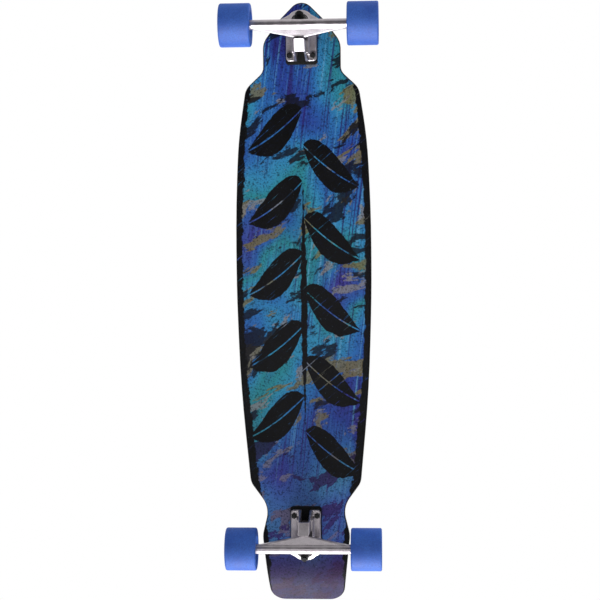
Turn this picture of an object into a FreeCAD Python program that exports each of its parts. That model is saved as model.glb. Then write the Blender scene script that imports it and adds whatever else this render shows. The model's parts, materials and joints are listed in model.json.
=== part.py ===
import FreeCAD, Part
import math
import os
from FreeCAD import Vector

# A longboard skateboard on two reverse-kingpin trucks, in millimetres.
# X runs along the board towards the nose, Y to the rider's left, Z up. The wheels stand on z = 0,
# and the origin lies under the middle of the deck's length.
# Each truck is built once around its axle centre, with x outboard and z up, and is then placed twice.

# Layout of the whole board
wheelbase = 914.0
nose_reach = 46.0
tail_reach = 116.0
truck_height = 66.0
riser_thickness = 4.0
overrun = 5.0
far_reach = 400.0

# Deck and grip tape
deck_width = 241.3
deck_thickness = 12.0
deck_edge_radius = 3.5
nose_half_angle = 45.0
nose_tip_radius = 23.0
nose_flank_reach = 30.0
nose_flank_radius = 90.0
front_neck_reach = 69.0
front_neck_width = 137.6
tail_width = 158.0
tail_end_width = 131.0
tail_flare_inset = 9.0
tail_corner_radius = 27.0
front_neck_radius = 35.0
front_waist_radius = 20.0
shoulder_radius = 30.0
side_radius = 3000.0
front_side_radius = 800.0
rear_waist_radius = 45.0
tail_flare_radius = 45.0
kick_start = 34.0
kick_radius = 85.0
kick_angle = 30.0
grip_thickness = 1.0
grip_inset = 5.0
# Corners of the deck's sides: share of half the wheelbase, share of half the deck's width
side_corner_shares = (
    (0.772, 0.834, shoulder_radius),
    (0.573, 0.950, front_side_radius),
    (0.284, 1.0, side_radius),
    (-0.022, 1.0, side_radius),
    (-0.394, 0.955, side_radius),
    (-0.770, 0.823, shoulder_radius),
)
front_waist_share = 0.837
rear_waist_shares = (-0.869, 0.551)
corner_room_share = 0.48
upright_share = 0.001
tiny_run = 0.001

# Mounting hardware of a truck
bolt_spacing_long = 54.0
bolt_spacing_wide = 41.3
inner_bolt_inboard = 47.7
bolt_diameter = 4.8
bolt_hole_diameter = 5.4
bolt_head_diameter = 9.4
bolt_head_depth = 2.6
bolt_socket_flats = 3.2
bolt_socket_depth = 1.6
bolt_end_length = 2.5
bolt_nut_flats = 9.5
bolt_nut_height = 4.0
bolt_nut_collar_diameter = 8.2
bolt_nut_collar_height = 1.6
thread_clearance = 0.05

# Riser pad and baseplate
plate_width = 53.5
plate_thickness = 8.0
plate_margin = 10.0
plate_corner_radius = 6.0
plate_edge_radius = 1.2
riser_margin_inboard = 5.0
riser_margin_outboard = 4.0
riser_margin_side = 1.3
seat_width = 29.0
seat_inboard_length = 16.0
horn_width = 19.6
horn_face_inboard = 25.0
horn_crest_drop = 10.0
horn_shoulder_height = 30.0
ramp_end_inboard = 46.0
ramp_end_height = 6.0
horn_edge_radius = 1.6
horn_hollow_depth = 8.5
horn_hollow_floor = 11.0
pocket_width = 15.0
pocket_wall = 3.6
pocket_wall_flare = 1.6
pocket_wall_foot = 4.0

# Steering geometry: the axis passes through the yoke centre and rises outboard
steer_angle = 35.0
yoke_outboard = 7.0
yoke_height = 30.0

# Hanger
hanger_width = 180.0
bar_diameter = 17.5
bar_end_diameter = 14.0
bar_end_length = 1.0
bar_taper_length = 1.5
web_reach = 22.6
web_apex_width = 16.0
web_end_inset = 12.0
web_apex_height = 3.5
web_apex_drop = 1.8
web_root_height = 6.0
web_root_reach = 8.0
web_foot_inset = 7.2
yoke_diameter = 44.0
yoke_shift = 4.0
yoke_thickness = 8.0
flare_width = 64.0
flare_edge = 5.0
flare_meet = 14.0
yoke_bore = 16.0
yoke_edge_radius = 2.0
seat_rim_height = 3.0
seat_rim_wall = 2.2
neck_foot_width = 72.0
neck_foot_shares = (-0.80, 0.90)
neck_root_share = 0.5
neck_back_share = 0.3
neck_shoulder_share = 0.80

# Kingpin, bushings and washers
kingpin_diameter = 9.5
kingpin_clearance = 0.10
kingpin_head_flats = 14.3
kingpin_head_height = 6.0
kingpin_head_room = 0.8
kingpin_seat_depth = 12.0
kingpin_tail = 2.6
kingpin_nut_flats = 14.3
kingpin_nut_height = 6.4
kingpin_collar_diameter = 12.6
kingpin_collar_height = 1.8
bushing_clearance = 0.25
board_bushing_height = 14.0
board_bushing_diameter = 27.0
board_bushing_waist = 25.0
road_bushing_height = 8.5
road_bushing_diameter = 26.0
road_bushing_small_diameter = 17.0
washer_thickness = 1.6
board_washer_diameter = 28.0
road_washer_diameter = 18.0
bushing_room = 1.0

# Pivot nose and cup
pivot_reach = 39.0
nose_diameter = 10.0
nose_root_diameter = 21.0
nose_root_length = 7.0
nose_root_start = 19.0
nose_neck_diameter = 12.4
cup_clearance = 0.12
cup_wall = 1.8
cup_floor = 1.6
cup_lip_reach = 36.4
cup_seat_clearance = 0.05
cup_gap = 0.6
nose_shoulder_gap = 3.2

# Axle, bearings and wheels
axle_diameter = 7.94
axle_clearance = 0.03
axle_end_chamfer = 0.8
axle_end_length = 3.0
axle_nut_flats = 12.7
axle_nut_height = 5.4
axle_nut_collar_diameter = 11.0
axle_nut_collar_height = 1.8
speed_washer_thickness = 1.0
speed_washer_diameter = 11.0
bearing_diameter = 22.0
bearing_width = 7.0
bearing_press_gap = 0.02
inner_ring_diameter = 12.0
outer_ring_bore = 18.4
ball_diameter = 3.9
ball_groove_clearance = 0.1
ball_count = 7
shield_thickness = 0.35
shield_inset = 0.25
shield_gap = 0.05
shield_bore_gap = 0.3
spacer_length = 10.0
spacer_diameter = 11.0
wheel_diameter = 75.0
wheel_width = 54.0
wheel_lip_overlap = 7.0
wheel_lip_radius = 3.0
wheel_mouth_radius = 2.5
inner_mouth_diameter = 51.0
outer_mouth_diameter = 55.0
core_diameter = 35.0
core_stop_diameter = 19.0
core_rib_diameter = 38.0
core_rib_width = 4.0

# Places that follow from the sizes
half_length = (nose_reach + wheelbase + tail_reach) / 2
front_axle_x = half_length - nose_reach
rear_axle_x = front_axle_x - wheelbase
middle_x = (front_axle_x + rear_axle_x) / 2
axle_z = wheel_diameter / 2
deck_bottom = truck_height + riser_thickness
deck_top = deck_bottom + deck_thickness
plate_bottom = truck_height - plate_thickness
plate_inboard = -(inner_bolt_inboard + plate_margin)
plate_outboard = bolt_spacing_long - inner_bolt_inboard + plate_margin
steer = math.radians(steer_angle)
axis_dir = Vector(math.cos(steer), 0, math.sin(steer))
pin_dir = Vector(math.sin(steer), 0, -math.cos(steer))
yoke_centre = Vector(yoke_outboard, 0, yoke_height)
side_dir = Vector(0, 1, 0)
up_dir = Vector(0, 0, 1)
bar_along = -(yoke_centre.dot(axis_dir))
bar_across = -(yoke_centre.dot(pin_dir))
seat_across = -(yoke_thickness / 2 + board_bushing_height + washer_thickness)
nut_across = yoke_thickness / 2 + road_bushing_height + washer_thickness
cup_radius = nose_diameter / 2 + cup_clearance + cup_wall
bearing_start = hanger_width / 2 + speed_washer_thickness
bearing_end = bearing_start + 2 * bearing_width + spacer_length
wheel_inside = hanger_width / 2 - wheel_lip_overlap
wheel_outside = wheel_inside + wheel_width


def on_steer(along, across, side=0):
    """Point along the steering axis and across it along the kingpin, counted from the yoke centre."""
    return yoke_centre + axis_dir * along + pin_dir * across + side_dir * side


def rounded_wire(corners):
    """Closed wire through corners of (point, radius): straight runs joined by tangent arcs."""
    count = len(corners)
    runs = []
    for i in range(count):
        here, radius = corners[i]
        back = corners[i - 1][0] - here
        ahead = corners[(i + 1) % count][0] - here
        half_turn = (math.pi - back.getAngle(ahead)) / 2
        room = corner_room_share * min(back.Length, ahead.Length)
        cut = min(radius * math.tan(half_turn), room)
        back.normalize()
        ahead.normalize()
        inward = back + ahead
        inward.normalize()
        bulge = cut / math.tan(half_turn) * (1 / math.cos(half_turn) - 1)
        runs.append((here + back * cut, here + inward * bulge, here + ahead * cut))
    edges = []
    for i in range(count):
        start, middle, end = runs[i]
        if start.distanceToPoint(end) > tiny_run:
            edges.append(Part.Arc(start, middle, end).toShape())
        following = runs[(i + 1) % count][0]
        if end.distanceToPoint(following) > tiny_run:
            edges.append(Part.LineSegment(end, following).toShape())
    return Part.Wire(edges)


def prism(points, direction):
    """Flat polygon carried along a direction."""
    return Part.Face(Part.makePolygon(list(points) + [points[0]])).extrude(direction)


def side_prism(points, width):
    """Side-view polygon of (x, z), as wide as stated, centred on the middle plane."""
    corners = [Vector(x, -width / 2, z) for x, z in points]
    return prism(corners, side_dir * width)


def turned(profile, base, direction):
    """Closed profile of (radius, along, corner radius) turned about a line from base."""
    corners = [(Vector(radius, 0, along), rounding) for radius, along, rounding in profile]
    solid = Part.Face(rounded_wire(corners)).revolve(Vector(0, 0, 0), up_dir, 360)
    return placed(solid, base, direction)


def placed(shape, base, direction):
    """Shape built along Z, laid along a direction from base."""
    shape.Placement = FreeCAD.Placement(base, FreeCAD.Rotation(up_dir, direction))
    return shape


def ring(outer, inner, height, base, direction):
    """Plain ring between two diameters."""
    profile = ((inner / 2, 0, 0), (outer / 2, 0, 0), (outer / 2, height, 0), (inner / 2, height, 0))
    return turned(profile, base, direction)


def rod(diameter, height, base, direction):
    """Plain round bar, also used as a drill."""
    return Part.makeCylinder(diameter / 2, height, base, direction)


def hexagon(flats, height):
    """Six-sided bar along Z with the stated size across its flats."""
    corner = flats / math.sqrt(3)
    angles = [math.radians(60 * i) for i in range(6)]
    return prism([Vector(corner * math.cos(a), corner * math.sin(a), 0) for a in angles], up_dir * height)


def lock_nut(flats, height, collar, collar_height, bore, base, direction):
    """Hexagon nut with chamfered corners and a round locking collar, base on its seat."""
    corner = flats / math.sqrt(3)
    slope = (corner - flats / 2) / math.sqrt(3)
    profile = (
        (0, 0, 0), (flats / 2, 0, 0), (corner, slope, 0),
        (corner, height - slope, 0), (flats / 2, height, 0), (0, height, 0),
    )
    body = hexagon(flats, height).common(turned(profile, Vector(0, 0, 0), up_dir))
    body = body.fuse(rod(collar, height + collar_height, Vector(0, 0, 0), up_dir))
    body = body.cut(rod(bore, height + collar_height, Vector(0, 0, 0), up_dir))
    return placed(body.removeSplitter(), base, direction)


def bolt_places():
    """Centres of one truck's four mounting bolts in plan."""
    for x in (-inner_bolt_inboard, bolt_spacing_long - inner_bolt_inboard):
        for y in (-bolt_spacing_wide / 2, bolt_spacing_wide / 2):
            yield Vector(x, y, 0)


def at_front(shape):
    """Truck piece placed at the front axle."""
    moved = shape.copy()
    moved.translate(Vector(front_axle_x, 0, axle_z))
    return moved


def at_rear(shape):
    """Truck piece turned round and placed at the rear axle."""
    moved = shape.copy()
    moved.rotate(Vector(0, 0, 0), up_dir, 180)
    moved.translate(Vector(rear_axle_x, 0, axle_z))
    return moved


def deck_outline():
    """Plan of the deck: pointed nose, narrow necks over the trucks, wide middle, squared tail."""
    angle = math.radians(nose_half_angle)
    apex = half_length + nose_tip_radius * (1 / math.sin(angle) - 1)
    flank_x = half_length - nose_flank_reach
    half_base = wheelbase / 2
    half_width = deck_width / 2
    left = [
        (flank_x, (apex - flank_x) * math.tan(angle), nose_flank_radius),
        (half_length - front_neck_reach, front_neck_width / 2, front_neck_radius),
        (middle_x + front_waist_share * half_base, front_neck_width / 2, front_waist_radius),
    ]
    for along, wide, radius in side_corner_shares:
        left.append((middle_x + along * half_base, wide * half_width, radius))
    along, wide = rear_waist_shares
    left += [
        (middle_x + along * half_base, wide * half_width, rear_waist_radius),
        (rear_axle_x + tail_flare_inset, tail_width / 2, tail_flare_radius),
        (-half_length, tail_end_width / 2, tail_corner_radius),
    ]
    right = [(x, -y, radius) for x, y, radius in reversed(left)]
    corners = [(apex, 0, nose_tip_radius)] + left + right
    return rounded_wire([(Vector(x, y, 0), radius) for x, y, radius in corners])


def board_sheet(bottom, thickness):
    """Flat sheet over the whole board that bends up into the kicktail, wider than the deck."""
    bend_x = rear_axle_x - kick_start
    bend_z = deck_top + kick_radius
    angle = math.radians(kick_angle)
    tail_way = Vector(-math.cos(angle), 0, math.sin(angle)) * (tail_reach + overrun)

    def run(height):
        radius = bend_z - height
        centre = Vector(bend_x, 0, bend_z)
        turn = [centre - Vector(math.sin(a), 0, math.cos(a)) * radius for a in (0, angle / 2, angle)]
        return [Vector(half_length + overrun, 0, height)] + turn + [turn[2] + tail_way]

    lower = run(bottom)
    upper = run(bottom + thickness)
    edges = []
    for points in (lower, upper):
        edges.append(Part.LineSegment(points[0], points[1]).toShape())
        edges.append(Part.Arc(points[1], points[2], points[3]).toShape())
        edges.append(Part.LineSegment(points[3], points[4]).toShape())
    edges.append(Part.LineSegment(lower[0], upper[0]).toShape())
    edges.append(Part.LineSegment(lower[4], upper[4]).toShape())
    face = Part.Face(Part.Wire(Part.__sortEdges__(edges)))
    face.translate(side_dir * -deck_width)
    sheet = face.extrude(side_dir * (deck_width * 2))
    sheet.translate(up_dir * axle_z)
    return sheet


def is_upright(face):
    """True for the faces that the deck's outline cuts."""
    u0, u1, v0, v1 = face.ParameterRange
    normal = face.normalAt((u0 + u1) / 2, (v0 + v1) / 2)
    return abs(normal.z) < upright_share


def deck_holes(diameter):
    """Drills for all eight mounting bolts, through the whole board."""
    drills = []
    for place in bolt_places():
        drill = rod(diameter, far_reach, place, up_dir)
        drills += [at_front(drill), at_rear(drill)]
    return Part.makeCompound(drills)


def make_deck():
    """Laminated board with rounded edges and countersunk bolt holes."""
    block = Part.Face(deck_outline()).extrude(up_dir * far_reach)
    deck = board_sheet(deck_bottom, deck_thickness).common(block).Solids[0]
    rims = []
    for edge in deck.Edges:
        upright = [is_upright(face) for face in deck.ancestorsOfType(edge, Part.Face)]
        if upright.count(True) == 1:
            rims.append(edge)
    deck = deck.makeFillet(deck_edge_radius, rims)
    deck = deck.cut(deck_holes(bolt_hole_diameter))
    for place in bolt_places():
        sink = turned(bolt_head_profile(thread_clearance), place + up_dir * deck_top, -up_dir)
        deck = deck.cut(Part.makeCompound([at_front(sink), at_rear(sink)]))
    return deck


def make_grip_tape():
    """Abrasive sheet over the top of the deck, set in from its edge, with a hole over each bolt."""
    plan = Part.Face(deck_outline().makeOffset2D(-grip_inset))
    tape = board_sheet(deck_top, grip_thickness).common(plan.extrude(up_dir * far_reach))
    return tape.cut(deck_holes(bolt_head_diameter)).Solids[0]


def bolt_head_profile(clearance):
    """Countersunk head, from its flat top down to the shank."""
    head = bolt_head_diameter / 2 + clearance
    depth = bolt_head_depth + clearance
    return ((0, 0, 0), (head, 0, 0), (bolt_diameter / 2, depth, 0), (0, depth, 0))


def make_mounting_bolts():
    """Four countersunk bolts down through deck, riser and baseplate."""
    length = deck_top - plate_bottom + bolt_nut_height + bolt_nut_collar_height + bolt_end_length
    bolts = []
    for place in bolt_places():
        top = place + up_dir * deck_top
        bolt = turned(bolt_head_profile(0), top, -up_dir).fuse(rod(bolt_diameter, length, top, -up_dir))
        socket = placed(hexagon(bolt_socket_flats, bolt_socket_depth), top, -up_dir)
        bolts.append(bolt.removeSplitter().cut(socket))
    return bolts


def make_mounting_nuts():
    """Four lock nuts against the underside of the baseplate."""
    bore = bolt_diameter + 2 * thread_clearance
    sizes = (bolt_nut_flats, bolt_nut_height, bolt_nut_collar_diameter, bolt_nut_collar_height, bore)
    return [lock_nut(*sizes, place + up_dir * plate_bottom, -up_dir) for place in bolt_places()]


def rounded_plate(inboard, outboard, width, bottom, thickness):
    """Flat plate with rounded corners in plan."""
    plan = [(inboard, -width / 2), (outboard, -width / 2), (outboard, width / 2), (inboard, width / 2)]
    wire = rounded_wire([(Vector(x, y, bottom), plate_corner_radius) for x, y in plan])
    return Part.Face(wire).extrude(up_dir * thickness)


def bolt_drills():
    """Drills for one truck's four mounting bolts."""
    return Part.makeCompound([rod(bolt_hole_diameter, far_reach, place, up_dir) for place in bolt_places()])


def make_riser_pad():
    """Shock pad between the baseplate and the deck."""
    pad = rounded_plate(
        plate_inboard - riser_margin_inboard,
        plate_outboard + riser_margin_outboard,
        plate_width + 2 * riser_margin_side,
        truck_height,
        riser_thickness,
    )
    return pad.cut(bolt_drills())


def seat_wedge(top):
    """Block under the plate whose slanted outboard face carries the kingpin's upper washer."""
    seat_low = on_steer(-seat_inboard_length, seat_across)
    seat_high = seat_low + axis_dir * ((top - seat_low.z) / axis_dir.z)
    profile = (
        (seat_high.x, seat_high.z),
        (seat_low.x, seat_low.z),
        (-horn_face_inboard, horn_shoulder_height),
        (-ramp_end_inboard, horn_shoulder_height),
        (-ramp_end_inboard, top),
    )
    plan = rounded_plate(plate_inboard, plate_outboard, plate_width, 0, truck_height)
    return side_prism(profile, seat_width).common(plan)


def pivot_horn(top):
    """Horn that reaches down to the pivot, upright towards the hanger and sloped behind."""
    profile = (
        (-horn_face_inboard, top),
        (-horn_face_inboard, -horn_crest_drop),
        (-ramp_end_inboard, ramp_end_height),
        (-ramp_end_inboard, top),
    )
    horn = side_prism(profile, horn_width)
    lengthwise = [e for e in horn.Edges if abs(e.Vertexes[0].Y - e.Vertexes[1].Y) < tiny_run]
    rims = [e for e in lengthwise if min(v.Z for v in e.Vertexes) < tiny_run - horn_crest_drop]
    return horn.makeFillet(horn_edge_radius, rims)


def make_baseplate():
    """Cast plate with a slanted kingpin seat, a pivot horn and an open pocket behind the horn."""
    plate = rounded_plate(plate_inboard, plate_outboard, plate_width, plate_bottom, plate_thickness)
    lower_rim = [e for e in plate.Edges if e.BoundBox.ZMax < plate_bottom + tiny_run]
    plate = plate.makeFillet(plate_edge_radius, lower_rim)
    top = plate_bottom + plate_thickness / 2
    solid = plate.fuse([seat_wedge(top), pivot_horn(top)] + pocket_walls(top))
    pocket_length = -ramp_end_inboard - plate_inboard
    pocket_corner = Vector(plate_inboard - overrun, -pocket_width / 2, 0)
    pocket = Part.makeBox(pocket_length + overrun, pocket_width, far_reach, pocket_corner)
    hollow_corner = Vector(-ramp_end_inboard - overrun, -pocket_width / 2, horn_hollow_floor)
    hollow = Part.makeBox(horn_hollow_depth + overrun, pocket_width, far_reach, hollow_corner)
    head_seat = seat_across - kingpin_seat_depth
    head_room = kingpin_head_flats / math.sqrt(3) * 2 + 2 * kingpin_head_room
    socket_floor = pivot_reach + nose_diameter / 2 + cup_clearance + cup_floor
    drills = [
        pocket,
        hollow,
        bolt_drills(),
        rod(kingpin_diameter + 2 * kingpin_clearance, far_reach, on_steer(0, seat_across), -pin_dir),
        rod(head_room, far_reach, on_steer(0, head_seat), -pin_dir),
        rod(2 * (cup_radius + cup_seat_clearance), socket_floor, on_steer(-socket_floor, 0), axis_dir),
    ]
    return solid.cut(drills).removeSplitter().Solids[0]


def pocket_walls(top):
    """Two thin walls from the horn to the plate's inboard end, flaring outwards."""
    walls = []
    foot = plate_bottom - pocket_wall_foot
    for side in (-1, 1):
        near = side * pocket_width / 2
        far = side * (pocket_width / 2 + pocket_wall)
        flare = side * pocket_wall_flare
        plan = [
            Vector(-ramp_end_inboard, near, 0),
            Vector(-ramp_end_inboard, far - flare, 0),
            Vector(plate_inboard, far + flare, 0),
            Vector(plate_inboard, near, 0),
        ]
        upright = prism(plan, up_dir * top)
        profile = side_prism(
            (
                (-ramp_end_inboard, ramp_end_height),
                (plate_inboard, foot),
                (plate_inboard, top),
                (-ramp_end_inboard, top),
            ),
            plate_width,
        )
        walls.append(upright.common(profile))
    return walls


def make_pivot_cup():
    """Soft liner of the pivot socket, standing a little out of the horn."""
    bore = nose_diameter / 2 + cup_clearance
    bottom = pivot_reach + bore + cup_floor
    cup = rod(2 * cup_radius, bottom - cup_lip_reach, on_steer(-bottom, 0), axis_dir)
    hollow = Part.makeSphere(bore, on_steer(-pivot_reach, 0))
    return cup.cut([hollow, rod(2 * bore, far_reach, on_steer(-pivot_reach, 0), axis_dir)])


def make_kingpin():
    """Hexagon-headed bolt from the baseplate, through bushings and yoke, to the nut."""
    head_seat = seat_across - kingpin_seat_depth
    head = placed(hexagon(kingpin_head_flats, kingpin_head_height), on_steer(0, head_seat), -pin_dir)
    end = nut_across + kingpin_nut_height + kingpin_collar_height + kingpin_tail
    shank = rod(kingpin_diameter, end - head_seat, on_steer(0, head_seat), pin_dir)
    return head.fuse(shank).removeSplitter()


def make_kingpin_nut():
    """Lock nut that holds the bushings on the kingpin."""
    bore = kingpin_diameter + 2 * thread_clearance
    sizes = (kingpin_nut_flats, kingpin_nut_height, kingpin_collar_diameter, kingpin_collar_height, bore)
    return lock_nut(*sizes, on_steer(0, nut_across), pin_dir)


def make_board_bushing():
    """Barrel bushing between the baseplate seat and the yoke, drawn in at its waist."""
    bore = kingpin_diameter / 2 + bushing_clearance
    height = board_bushing_height
    rim = board_bushing_diameter / 2
    profile = (
        (bore, 0, 0), (rim, 0, 0), (rim, height / 4, 0), (board_bushing_waist / 2, height / 2, 0),
        (rim, height * 3 / 4, 0), (rim, height, 0), (bore, height, 0),
    )
    return turned(profile, on_steer(0, seat_across + washer_thickness), pin_dir)


def make_road_bushing():
    """Cone bushing between the yoke and the nut, narrowing to the nut."""
    bore = kingpin_diameter / 2 + bushing_clearance
    height = road_bushing_height
    rim = road_bushing_diameter / 2
    tip = road_bushing_small_diameter / 2
    profile = ((bore, 0, 0), (rim, 0, 0), (rim, height / 4, 0), (tip, height, 0), (bore, height, 0))
    return turned(profile, on_steer(0, yoke_thickness / 2), pin_dir)


def make_washer(diameter, across):
    """Flat washer on the kingpin."""
    bore = kingpin_diameter + 2 * kingpin_clearance
    return ring(diameter, bore, washer_thickness, on_steer(0, across), pin_dir)


def axle_bar():
    """Round axle bar of the hanger with turned-down ends."""
    end = hanger_width / 2
    taper = end - bar_end_length
    full = taper - bar_taper_length
    thin = bar_end_diameter / 2
    thick = bar_diameter / 2
    profile = (
        (0, -end, 0), (thin, -end, 0), (thin, -taper, 0), (thick, -full, 0),
        (thick, full, 0), (thin, taper, 0), (thin, end, 0), (0, end, 0),
    )
    return turned(profile, Vector(0, 0, 0), side_dir)


def hanger_web():
    """Web from the axle bar towards the pivot, widest in the middle, rising slightly inboard."""
    end = hanger_width / 2 - web_end_inset
    apex = web_apex_width / 2
    plan = [
        Vector(0, end, -far_reach / 2),
        Vector(-web_root_reach, end, -far_reach / 2),
        Vector(-web_reach, apex, -far_reach / 2),
        Vector(-web_reach, -apex, -far_reach / 2),
        Vector(-web_root_reach, -end, -far_reach / 2),
        Vector(0, -end, -far_reach / 2),
    ]
    profile = side_prism(
        (
            (0, web_root_height),
            (-web_reach, web_apex_height),
            (-web_reach, -web_apex_drop),
            (-web_foot_inset, -math.sqrt((bar_diameter / 2) ** 2 - web_foot_inset**2)),
        ),
        hanger_width,
    )
    return prism(plan, up_dir * far_reach).common(profile)


def hanger_neck():
    """Tapered neck from the axle bar up to the yoke ring."""
    bar = bar_diameter / 2
    yoke = yoke_diameter / 2
    half = yoke_thickness / 2
    outline = [
        (bar_along + neck_foot_shares[0] * bar, bar_across),
        (bar_along + neck_foot_shares[1] * bar, bar_across),
        (-neck_shoulder_share * yoke, half),
        (-neck_root_share * yoke, half),
        (-neck_root_share * yoke, -half),
        (bar_along - neck_back_share * bar, -half),
    ]
    slab = prism([on_steer(s, t, -neck_foot_width / 2) for s, t in outline], side_dir * neck_foot_width)
    taper = [
        (neck_foot_width / 2, bar_across), (yoke, -half), (-yoke, -half), (-neck_foot_width / 2, bar_across)
    ]
    start = bar_along - bar_diameter
    wedge = prism([on_steer(start, t, y) for y, t in taper], axis_dir * -start)
    return slab.common(wedge)


def yoke_flare():
    """Bell-shaped foot in the plane of the yoke, spreading from the ring towards the axle bar."""
    half = yoke_thickness / 2
    yoke = yoke_diameter / 2
    ring_side = math.sqrt(yoke**2 - (flare_meet - yoke_shift) ** 2)
    flank = [
        (flare_meet, ring_side),
        (flare_edge, flare_width / 2),
        (0, flare_width / 2),
        (-neck_root_share * yoke, yoke),
    ]
    outline = flank + [(s, -y) for s, y in reversed(flank)]
    return prism([on_steer(s, -half, y) for s, y in outline], pin_dir * yoke_thickness)


def pivot_nose():
    """Round nose about the steering axis that turns in the pivot cup."""
    tip = nose_diameter / 2
    shoulder = cup_lip_reach - nose_shoulder_gap
    profile = (
        (0, -nose_root_start, 0),
        (nose_root_diameter / 2, -nose_root_start, 0),
        (nose_root_diameter / 2, -nose_root_start - nose_root_length, 0),
        (nose_neck_diameter / 2, -shoulder, 0),
        (tip, -cup_lip_reach, 0),
        (tip, -pivot_reach, 0),
        (0, -pivot_reach, 0),
    )
    shank = turned(profile, yoke_centre, axis_dir)
    return shank.fuse(Part.makeSphere(tip, on_steer(-pivot_reach, 0)))


def make_hanger():
    """Casting that carries the axle: bar, web, neck, kingpin yoke and pivot nose."""
    half = yoke_thickness / 2
    yoke = rod(yoke_diameter, yoke_thickness, on_steer(yoke_shift, -half), pin_dir)
    yoke = yoke.makeFillet(yoke_edge_radius, [e for e in yoke.Edges if e.Closed])
    rim_diameter = road_bushing_diameter + 2 * (bushing_room + seat_rim_wall)
    seat_rim = rod(rim_diameter, half + seat_rim_height, yoke_centre, pin_dir)
    body = axle_bar().fuse([hanger_web(), hanger_neck(), yoke_flare(), yoke, seat_rim])
    cup_room = 2 * (cup_radius + cup_gap)
    drills = [
        rod(cup_room, far_reach, on_steer(nose_shoulder_gap - cup_lip_reach, 0), -axis_dir),
        rod(board_bushing_diameter + 2 * bushing_room, far_reach, on_steer(0, -half), -pin_dir),
        rod(road_bushing_diameter + 2 * bushing_room, far_reach, on_steer(0, half), pin_dir),
        rod(yoke_bore, yoke_thickness + 2 * overrun, on_steer(0, -half - overrun), pin_dir),
    ]
    body = body.cut(drills).fuse(pivot_nose())
    start = side_dir * (-hanger_width / 2)
    axle_bore = rod(axle_diameter + 2 * axle_clearance, hanger_width, start, side_dir)
    return body.cut(axle_bore).removeSplitter().Solids[0]


def both_sides(piece):
    """A piece on the +Y end of an axle and its twin, turned round onto the other end."""
    twin = piece.copy()
    twin.rotate(Vector(0, 0, 0), up_dir, 180)
    return [piece, twin]


def axle_places():
    """Start of each bearing along the axle."""
    return bearing_start, bearing_start + bearing_width + spacer_length


def make_axle():
    """Steel rod pressed through the hanger."""
    end = bearing_end + speed_washer_thickness + axle_nut_height + axle_nut_collar_height + axle_end_length
    axle = rod(axle_diameter, 2 * end, side_dir * -end, side_dir)
    return axle.makeChamfer(axle_end_chamfer, [e for e in axle.Edges if e.Closed])


def make_axle_nuts():
    """Lock nuts that hold the wheels on."""
    bore = axle_diameter + 2 * thread_clearance
    seat = side_dir * (bearing_end + speed_washer_thickness)
    sizes = (axle_nut_flats, axle_nut_height, axle_nut_collar_diameter, axle_nut_collar_height, bore)
    return both_sides(lock_nut(*sizes, seat, side_dir))


def make_speed_washers():
    """Thin washers on both sides of each wheel's pair of bearings."""
    bore = axle_diameter + 2 * axle_clearance
    washers = []
    for start in (hanger_width / 2, bearing_end):
        seat = side_dir * start
        washers += both_sides(ring(speed_washer_diameter, bore, speed_washer_thickness, seat, side_dir))
    return washers


def make_bearing_spacers():
    """Tubes between the inner rings of each wheel's bearings."""
    bore = axle_diameter + 2 * axle_clearance
    start = side_dir * (bearing_start + bearing_width)
    return both_sides(ring(spacer_diameter, bore, spacer_length, start, side_dir))


def ball_pitch_radius():
    """Radius of the circle that the ball centres lie on."""
    return (inner_ring_diameter + outer_ring_bore) / 4


def ball_groove(start):
    """Groove that the balls run in."""
    groove = ball_diameter / 2 + ball_groove_clearance
    return Part.makeTorus(ball_pitch_radius(), groove, side_dir * (start + bearing_width / 2), side_dir)


def make_inner_rings():
    """Bearing inner rings, clamped on the axle."""
    bore = axle_diameter + 2 * axle_clearance
    rings = []
    for start in axle_places():
        blank = ring(inner_ring_diameter, bore, bearing_width, side_dir * start, side_dir)
        rings += both_sides(blank.cut(ball_groove(start)))
    return rings


def make_outer_rings():
    """Bearing outer rings, pressed into one wheel's core."""
    rings = []
    for start in axle_places():
        blank = ring(bearing_diameter, outer_ring_bore, bearing_width, side_dir * start, side_dir)
        rings.append(blank.cut(ball_groove(start)))
    return rings


def make_balls():
    """Bearing balls of one wheel."""
    balls = []
    for start in axle_places():
        for i in range(ball_count):
            angle = 2 * math.pi * i / ball_count
            pitch = ball_pitch_radius()
            centre = Vector(pitch * math.cos(angle), start + bearing_width / 2, pitch * math.sin(angle))
            balls.append(Part.makeSphere(ball_diameter / 2, centre))
    return balls


def make_shields():
    """Thin steel discs that close both faces of each bearing of one wheel."""
    outer = outer_ring_bore - 2 * shield_gap
    inner = inner_ring_diameter + 2 * shield_bore_gap
    discs = []
    for start in axle_places():
        for inset in (shield_inset, bearing_width - shield_inset - shield_thickness):
            discs.append(ring(outer, inner, shield_thickness, side_dir * (start + inset), side_dir))
    return discs


def make_core():
    """Stiff wheel core with a seat for each bearing and a rib that keys it into the urethane."""
    seat = bearing_diameter / 2 + bearing_press_gap
    stop = core_stop_diameter / 2
    outside = core_diameter / 2
    rib = core_rib_diameter / 2
    inner_stop = bearing_start + bearing_width
    outer_stop = inner_stop + spacer_length
    middle = (bearing_start + bearing_end) / 2
    profile = (
        (seat, bearing_start, 0), (outside, bearing_start, 0),
        (outside, middle - core_rib_width / 2, 0), (rib, middle - core_rib_width / 2, 0),
        (rib, middle + core_rib_width / 2, 0), (outside, middle + core_rib_width / 2, 0),
        (outside, bearing_end, 0), (seat, bearing_end, 0),
        (seat, outer_stop, 0), (stop, outer_stop, 0), (stop, inner_stop, 0), (seat, inner_stop, 0),
    )
    return turned(profile, Vector(0, 0, 0), side_dir)


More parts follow.
